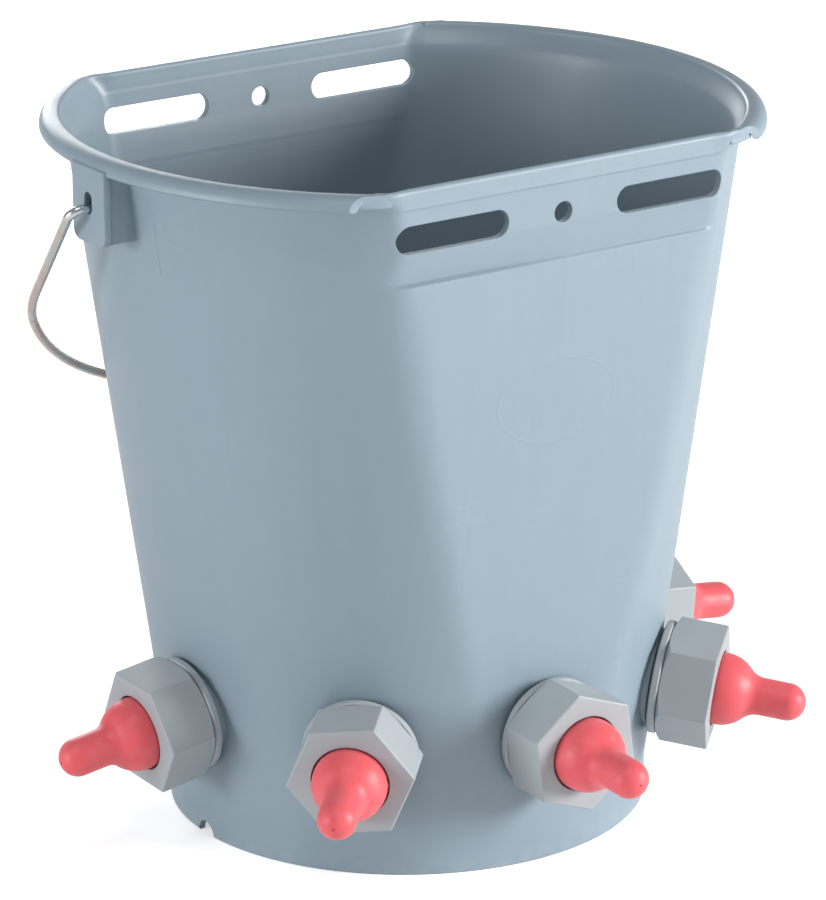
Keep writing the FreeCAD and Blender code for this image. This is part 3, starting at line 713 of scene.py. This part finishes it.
def smoothStep(value, low, high):
    share = min(max((value - low) / (high - low), 0), 1)
    return share * share * (3 - 2 * share)


def pressFlats(piece):
    # pushes the turned wall in onto the two flats, with a rounded corner, and leans the
    # round stretches out under the rim
    form = bucketForm
    steps = flatSteps()
    for vertex in piece.data.vertices:
        x, y, level = vertex.co
        radius = math.hypot(x, y)
        if level < form["footHeight"] + 0.0005 or radius < 0.05:
            continue
        inset = wallRadius(level) - radius
        soft = form["cornerSoft"] + (form["cornerCrisp"] - form["cornerSoft"]) \
            * smoothStep(level, form["creaseLevel"] - 0.02, slotLevel)
        soft = max(soft - inset, 0.002)
        ledge = form["ledgeExtra"] * smoothStep(x * y / radius, -0.01, 0.055)
        ledge *= smoothStep(level, form["creaseLevel"], form["creaseLevel"] + 0.0012)
        ledge *= 1 - smoothStep(level, form["creaseLevel"] + 0.0015,
                                form["creaseLevel"] + form["leanHeight"])
        if inset < form["wall"] / 2:
            flat = flatDistance(level, steps) - ledge - inset
        else:
            flat = insideFlat(level, steps) - inset
        side, rise = abs(x) / radius, abs(y) / radius
        cornerY = flat - soft
        cornerX = math.sqrt(max((radius - soft) ** 2 - cornerY ** 2, 0))
        turnAngle, cornerAngle = math.atan2(rise, side), math.atan2(cornerY, cornerX)
        if flat >= radius or turnAngle <= cornerAngle:
            newRadius = radius
        elif rise > 0 and flat * side / rise <= cornerX:
            newRadius = flat / rise
        else:
            reach = side * cornerX + rise * cornerY
            newRadius = reach + math.sqrt(max(reach ** 2 - cornerX ** 2 - cornerY ** 2 + soft ** 2, 0))
        lean = form["rimFlare"] * smoothStep(level, mouthLevel - 0.011, mouthLevel - 0.001)
        newRadius += lean * (1 - smoothStep(turnAngle, cornerAngle - 0.05, cornerAngle + 0.05))
        vertex.co.x, vertex.co.y = x / radius * newRadius, y / radius * newRadius


def turnedWall():
    form = bucketForm
    wall, foot, floor = form["wall"], form["footHeight"], form["floorLevel"]
    crease, edge = form["creaseLevel"], mouthLevel - form["bandEdge"]
    levels = [foot + (crease - 0.002 - foot) * (n / form["wallLevels"]) ** 0.9
              for n in range(form["wallLevels"] + 1)]
    levels += [crease - 0.001, crease, crease + form["creaseLedge"], crease + 0.002, crease + 0.006,
               crease + 0.011, crease + form["leanHeight"] - 0.001, crease + form["leanHeight"],
               crease + form["leanHeight"] + 0.001, *form["bandLevels"], edge - 0.0005, edge,
               edge + form["bandProud"], edge + 0.0015, *form["rimLevels"]]
    under = floor - form["floorThickness"]
    profile = [(0, under), (footRadius - wall, under), (footRadius - wall, 0.0004),
               (footRadius - wall + 0.0004, 0), (footRadius - 0.0006, 0), (footRadius, 0.0006),
               (footRadius, foot - 0.004)]
    profile += [(wallRadius(level), level) for level in levels]
    top = mouthLevel - wall / 2
    topRadius = wallRadius(top) - wall / 2
    profile += arcPoints((topRadius, top), wall / 2, 0, 180, 8)
    inner = floor + form["floorCorner"]
    profile += [(wallRadius(level) - wall, level) for level in reversed(levels) if level > inner + 0.002]
    cornerCentre = (wallRadius(inner) - wall - form["floorCorner"], inner)
    profile += arcPoints(cornerCentre, form["floorCorner"], 0, -90, 5)
    profile += [(0.08, floor), (0.05, floor), (0, floor)]
    piece = drawProfile("bucketShell", profile, closed=False)
    spinProfile(piece, form["turnSteps"])
    pressFlats(piece)
    return piece


def rimHooks():
    # the hooked rim as a full ring, cut square at its four ends
    form = bucketForm
    roll, wall = form["rimRoll"], form["wall"]
    centre = (rimRadius - roll, mouthLevel - roll)
    lip = mouthLevel - form["rimSkirt"]
    section = arcPoints(centre, roll, 90, 0, 10)
    section += arcPoints((rimRadius - wall / 2, lip + wall / 2 - 0.0004), wall / 2, -20, -160, 5)
    section += arcPoints(centre, roll - wall, 0, 90, 6)
    crown = wallRadius(mouthLevel) + form["rimFlare"] - wall / 2
    section += [(centre[0] - 0.0012, centre[1] + roll - wall),
                (crown - 0.0002, centre[1] + roll - wall * 0.8),
                (crown - 0.0004, centre[1] + roll - 0.0006),
                (crown, centre[1] + roll)]
    ring = drawProfile("rimHooks", section, closed=True)
    spinProfile(ring, form["turnSteps"])
    for side in (1, -1):
        editing(ring)
        bpy.ops.mesh.select_all(action="SELECT")
        bpy.ops.mesh.bisect(plane_co=(0, side * form["rimEnd"], 0), plane_no=(0, side, 0),
                            use_fill=True, clear_outer=True)
        doneEditing()
    return ring


def rimEnds(side):
    # closes both rim ends on one flat with a block that carries the flat's top band outwards
    form = bucketForm
    band = flatSteps()[-1][1]
    near = form["rimEnd"] - 0.001
    blocks = []
    for hand in (1, -1):
        xLow, xHigh = sorted((hand * form["endInner"], hand * form["endOuter"]))
        yLow, yHigh = sorted((side * near, side * band))
        block = addBlock(f"rimEnd{side}{hand}", (xLow, yLow, mouthLevel - form["endHeight"]),
                         (xHigh, yHigh, mouthLevel - 0.00015))
        middle = (form["endInner"] + form["endOuter"]) / 2
        for outer, shift in ((True, form["endTaper"]), (False, form["endTaper"] * 0.9)):
            pickVertices(block, lambda co: abs(co.y) > band - 1e-5 and (abs(co.x) > middle) == outer)
            bpy.ops.transform.translate(value=(-hand * shift, 0, 0))
            doneEditing()
        bevelEdges(block, lambda a, b: min(abs(a.x), abs(b.x)) > middle - form["endTaper"] / 2
                   and min(a.z, b.z) > mouthLevel - 0.001, form["endRoll"], 6)
        blocks.append(block)
    return blocks


def bailLug(side):
    form = bucketForm
    name = "right" if side > 0 else "left"
    low, top = mouthLevel - form["lugDrop"], mouthLevel - form["wall"]
    plateTop = mouthLevel - form["plateDrop"]
    half = form["lugWidth"] / 2

    def block(label, near, far, yLow, yHigh, zLow, zHigh):
        xLow, xHigh = sorted((side * near, side * far))
        return addBlock(f"{label}_{name}", (xLow, yLow, zLow), (xHigh, yHigh, zHigh))

    plate = block("lugPlate", lugFace - form["lugPlate"], lugFace, -half, half, low, plateTop)
    bevelEdges(plate, lambda a, b: a.z < low + 1e-5 and b.z < low + 1e-5 and abs(a.y - b.y) < 1e-5,
               form["lugCorner"], 6)
    bevelEdges(plate, lambda a, b: min(abs(a.x), abs(b.x)) > lugFace - 1e-5, form["edgeRound"] * 1.5, 2)
    webs = []
    for sign in (-1, 1):
        outer = half - form["lugWebInset"]
        yLow, yHigh = sorted((sign * outer, sign * (outer - form["lugWeb"])))
        web = block(f"lugWeb{sign}", wallRadius(low) - 0.0015, lugFace - form["lugPlate"] / 2,
                    yLow, yHigh, low + form["wall"] / 2, mouthLevel - form["webDrop"])
        middle = (wallRadius(low) + lugFace) / 2
        pickVertices(web, lambda co: abs(co.x) < middle and co.z > low + 0.01)
        bpy.ops.transform.translate(value=(side * (wallRadius(top) - wallRadius(low) + 0.001), 0, 0))
        doneEditing()
        webs.append(web)
    return [plate] + webs


def stationPads():
    form = bucketForm
    pads = []
    for station in stations:
        place = stationMatrix(station)
        outward = place.col[2].to_3d()
        start = place.translation - outward * form["padDepth"]
        pads.append(addRod(f"pad_{station}", form["padRadius"], start, outward,
                           form["padDepth"] + form["padProud"], 96))
    return pads


def ovalRod(name, halfWidth, halfHeight, centre, axis, length):
    # an upright or level oval bar for cutting eyes and slots, from a stretched round one
    bar = addRod(name, min(halfWidth, halfHeight), Vector(centre) - Vector(axis) * length / 2,
                 axis, length, 48)
    extra = abs(halfWidth - halfHeight)
    for sign in (1, -1):
        if halfWidth > halfHeight:
            pickVertices(bar, lambda co: (co.x - centre[0]) * sign > 1e-6)
            bpy.ops.transform.translate(value=(sign * extra, 0, 0))
        else:
            pickVertices(bar, lambda co: (co.z - centre[2]) * sign > 1e-6)
            bpy.ops.transform.translate(value=(0, 0, sign * extra))
        doneEditing()
    return bar


def bucketCuts():
    form = bucketForm
    across = rimRadius * 2
    half, height = slotDims["slot_length_mm"] / 2000, slotDims["hole_r_mm"] / 1000
    cuts = []
    for side in (-1, 1):
        x = side * slotDims["spacing_x_mm"] / 2000
        cuts.append(ovalRod(f"slotCut{side}", half, height, (x, 0, slotLevel), (0, 1, 0), across))
    hole = mounts["front_hang_hole"]["dims"]["r_mm"] / 1000
    cuts.append(addRod("hangCut", hole, (0, -across / 2, slotLevel), (0, 1, 0), across, 48))
    eyeLevel = mouthLevel - form["eyeDrop"]
    for side in (-1, 1):
        centre = (side * (lugFace - form["lugPlate"] / 2), 0, eyeLevel)
        cuts.append(ovalRod(f"eyeCut{side}", form["eyeWidth"] / 2, form["eyeHeight"] / 2, centre,
                            (side, 0, 0), form["lugPlate"] * 2))
    cuts.append(addRod("notchCut", form["notchRadius"], (-across / 2, 0, 0), (1, 0, 0), across, 48))
    for station in stations:
        place = stationMatrix(station)
        outward = place.col[2].to_3d()
        cuts.append(addRod(f"holeCut_{station}", form["holeRadius"], place.translation - outward * 0.012,
                           outward, 0.02, 64))
    return joinPieces("bucketCuts", cuts)


def makeBucket():
    shell = turnedWall()
    extras = [rimHooks()] + rimEnds(1) + rimEnds(-1) + bailLug(1) + bailLug(-1) + stationPads()
    combine(shell, joinPieces("bucketExtras", extras), "UNION")
    combine(shell, bucketCuts(), "DIFFERENCE")
    makeActive(shell)
    bpy.ops.object.shade_smooth_by_angle(angle=math.radians(35))
    shell.data.materials.clear()
    shell.data.materials.append(finishes["bucket_plastic"])
    panels = [part["node"] for part in record["subparts"] if part["node"].endswith("hang_panel")]
    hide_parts("bucket", *panels)
    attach(shell, rootBody)
    return shell


bucketShell = makeBucket()
print("bucket moulding made:", len(bucketShell.data.polygons), "faces")


# teats: bulb, hollowed shoulder and nipple, hollow inside
teatForm = {
    "footRim": 0.00394,        # height of the gripped flange
    "footPlay": 0.00008,       # clear of the nut that turns round it
    "neck": 0.0148,
    "bulb": 0.01595,
    "bulbCentre": 0.0375,      # back from the tip
    "shoulder": 0.0085,        # hollow between bulb and nipple
    "nippleBase": 0.0083,
    "nippleTip": 0.0083,
    "skin": 0.0024,
    "mouthHole": 0.0004,
    "partingLine": 0.00016,
    "turnSteps": 72,
}


def teatOutline(low, high, footRadius, inward):
    # from the flange to the tip, a given thickness inside the outer skin
    form = teatForm
    bulb, centre = form["bulb"] - inward, high - form["bulbCentre"]
    base, tip = form["nippleBase"] - inward, form["nippleTip"] - inward
    hollow = form["shoulder"] + inward
    rise = math.sqrt((bulb + hollow) ** 2 - (base + hollow) ** 2)
    turn = math.degrees(math.atan2(rise, base + hollow))
    points = [(footRadius, low), (footRadius, low + form["footRim"] - inward)] if not inward else []
    points += [(form["neck"] - inward, low + form["footRim"] - inward if not inward else low)]
    points += arcPoints((0, centre), bulb, -18, turn, 22)
    points += arcPoints((base + hollow, centre + rise), hollow, 180 + turn, 180, 10)[1:]
    points += arcPoints((0, high - inward - tip), tip, 0, 84 if not inward else 70, 14)
    return points


def makeTeat(station):
    form = teatForm
    low, high, footRadius = localSpan(f"teat_{station}", station)
    footRadius -= form["footPlay"]
    outside = teatOutline(low, high, footRadius, 0)
    inside = teatOutline(low, high, footRadius, form["skin"])
    hole = form["mouthHole"]
    profile = outside + [(hole, high - 0.0001), (hole, high - form["skin"] + 0.0001)] + inside[::-1]
    teat = drawProfile(f"teatRubber_{station}", profile, closed=True)
    spinProfile(teat, form["turnSteps"])
    # the mould's parting line stands out as a fine ridge along two sides
    pickVertices(teat, lambda co: abs(co.y) < 1e-6 and math.hypot(co.x, co.y) > 0.0035
                 and co.z > low + 0.0075)
    bpy.ops.transform.resize(value=(1 + form["partingLine"] / form["nippleBase"], 1, 1),
                             center_override=(0, 0, 0))
    doneEditing()
    placing = stationMatrix(station)
    teat.location = placing.to_translation()
    teat.rotation_euler = placing.to_euler()
    applyPlace(teat)
    makeActive(teat)
    bpy.ops.object.shade_smooth_by_angle(angle=math.radians(40))
    teat.data.materials.clear()
    teat.data.materials.append(finishes["teat_rubber"])
    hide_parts(f"teat_{station}")
    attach(teat, f"rubber_{station}")


for station in stations:
    makeTeat(station)
print("teats made:", len(stations))


cameraView = {
    "azimuth": -33.77,
    "elevation": 18.44,
    "roll": -0.34,
    "distance": 2.1409,
    "lens": 196.4,
    "sensor": 36,
    "aim": (0.0028, -0.0019, 0.1558),
}


def setCamera():
    view = cameraView
    azimuth, elevation = math.radians(view["azimuth"]), math.radians(view["elevation"])
    back = Vector((math.sin(azimuth) * math.cos(elevation), -math.cos(azimuth) * math.cos(elevation),
                   math.sin(elevation)))
    camera = bpy.data.objects.new("camera", bpy.data.cameras.new("camera"))
    bpy.context.scene.collection.objects.link(camera)
    camera.location = Vector(view["aim"]) + back * view["distance"]
    turn = back.to_track_quat("Z", "Y").to_matrix() @ Matrix.Rotation(math.radians(view["roll"]), 3, "Z")
    camera.rotation_euler = turn.to_euler()
    camera.data.lens = view["lens"]
    camera.data.sensor_width = view["sensor"]
    camera.data.clip_end = 20
    bpy.context.scene.camera = camera


studio = {
    "floorSize": 12,
    "floorColour": (0.92, 0.92, 0.92, 1),
    "floorRoughness": 0.9,
    "floorGlow": (0.10, 0.52),     # onto the object, and as the camera sees it
    "sky": 0.30,
    "lamps": {                     # place, aim, width, watts, colour
        "keyLamp": ((2.2, -2.2, 0.85), (0, 0, 0.18), 1.3, 122, (1, 0.975, 0.96)),
        "sideLamp": ((-2.5, 0.2, 0.55), (0, 0, 0.15), 1.0, 29, (0.98, 0.99, 1)),
        "backLamp": ((0.9, 2.7, 0.8), (0, 0, 0.15), 1.2, 26, (0.98, 0.99, 1)),
        "topLamp": ((-0.9, -0.9, 2.6), (0, 0, 0.2), 0.9, 13, (1, 1, 1)),
    },
}


def addLamp(name, place, aim, width, watts, colour):
    lamp = bpy.data.objects.new(name, bpy.data.lights.new(name, "AREA"))
    bpy.context.scene.collection.objects.link(lamp)
    lamp.data.shape = "DISK"
    lamp.data.size = width
    lamp.data.energy = watts
    lamp.data.color = colour
    lamp.location = place
    lamp.rotation_euler = (Vector(place) - Vector(aim)).to_track_quat("Z", "Y").to_euler()


def setFloor():
    bpy.ops.mesh.primitive_plane_add(size=studio["floorSize"], location=(0, 0, 0))
    floor = named(bpy.context.object, "studioFloor")
    paper = bpy.data.materials.new("studioPaper")
    paper.use_nodes = True
    shader = paper.node_tree.nodes["Principled BSDF"]
    shader.inputs["Base Color"].default_value = studio["floorColour"]
    shader.inputs["Roughness"].default_value = studio["floorRoughness"]
    shader.inputs["Emission Color"].default_value = (1, 1, 1, 1)
    seen = paper.node_tree.nodes.new("ShaderNodeLightPath").outputs["Is Camera Ray"]
    glow = rerange(paper.node_tree, seen, 0.0, 1.0, *studio["floorGlow"])
    paper.node_tree.links.new(glow, shader.inputs["Emission Strength"])
    floor.data.materials.append(paper)


def setLight():
    world = bpy.data.worlds.new("studioSky")
    world.use_nodes = True
    world.node_tree.nodes["Background"].inputs["Color"].default_value = (1, 1, 1, 1)
    world.node_tree.nodes["Background"].inputs["Strength"].default_value = studio["sky"]
    bpy.context.scene.world = world
    for name, lamp in studio["lamps"].items():
        addLamp(name, *lamp)
    bpy.context.scene.view_settings.view_transform = "Standard"


setCamera()
setFloor()
setLight()
print("camera and studio set")
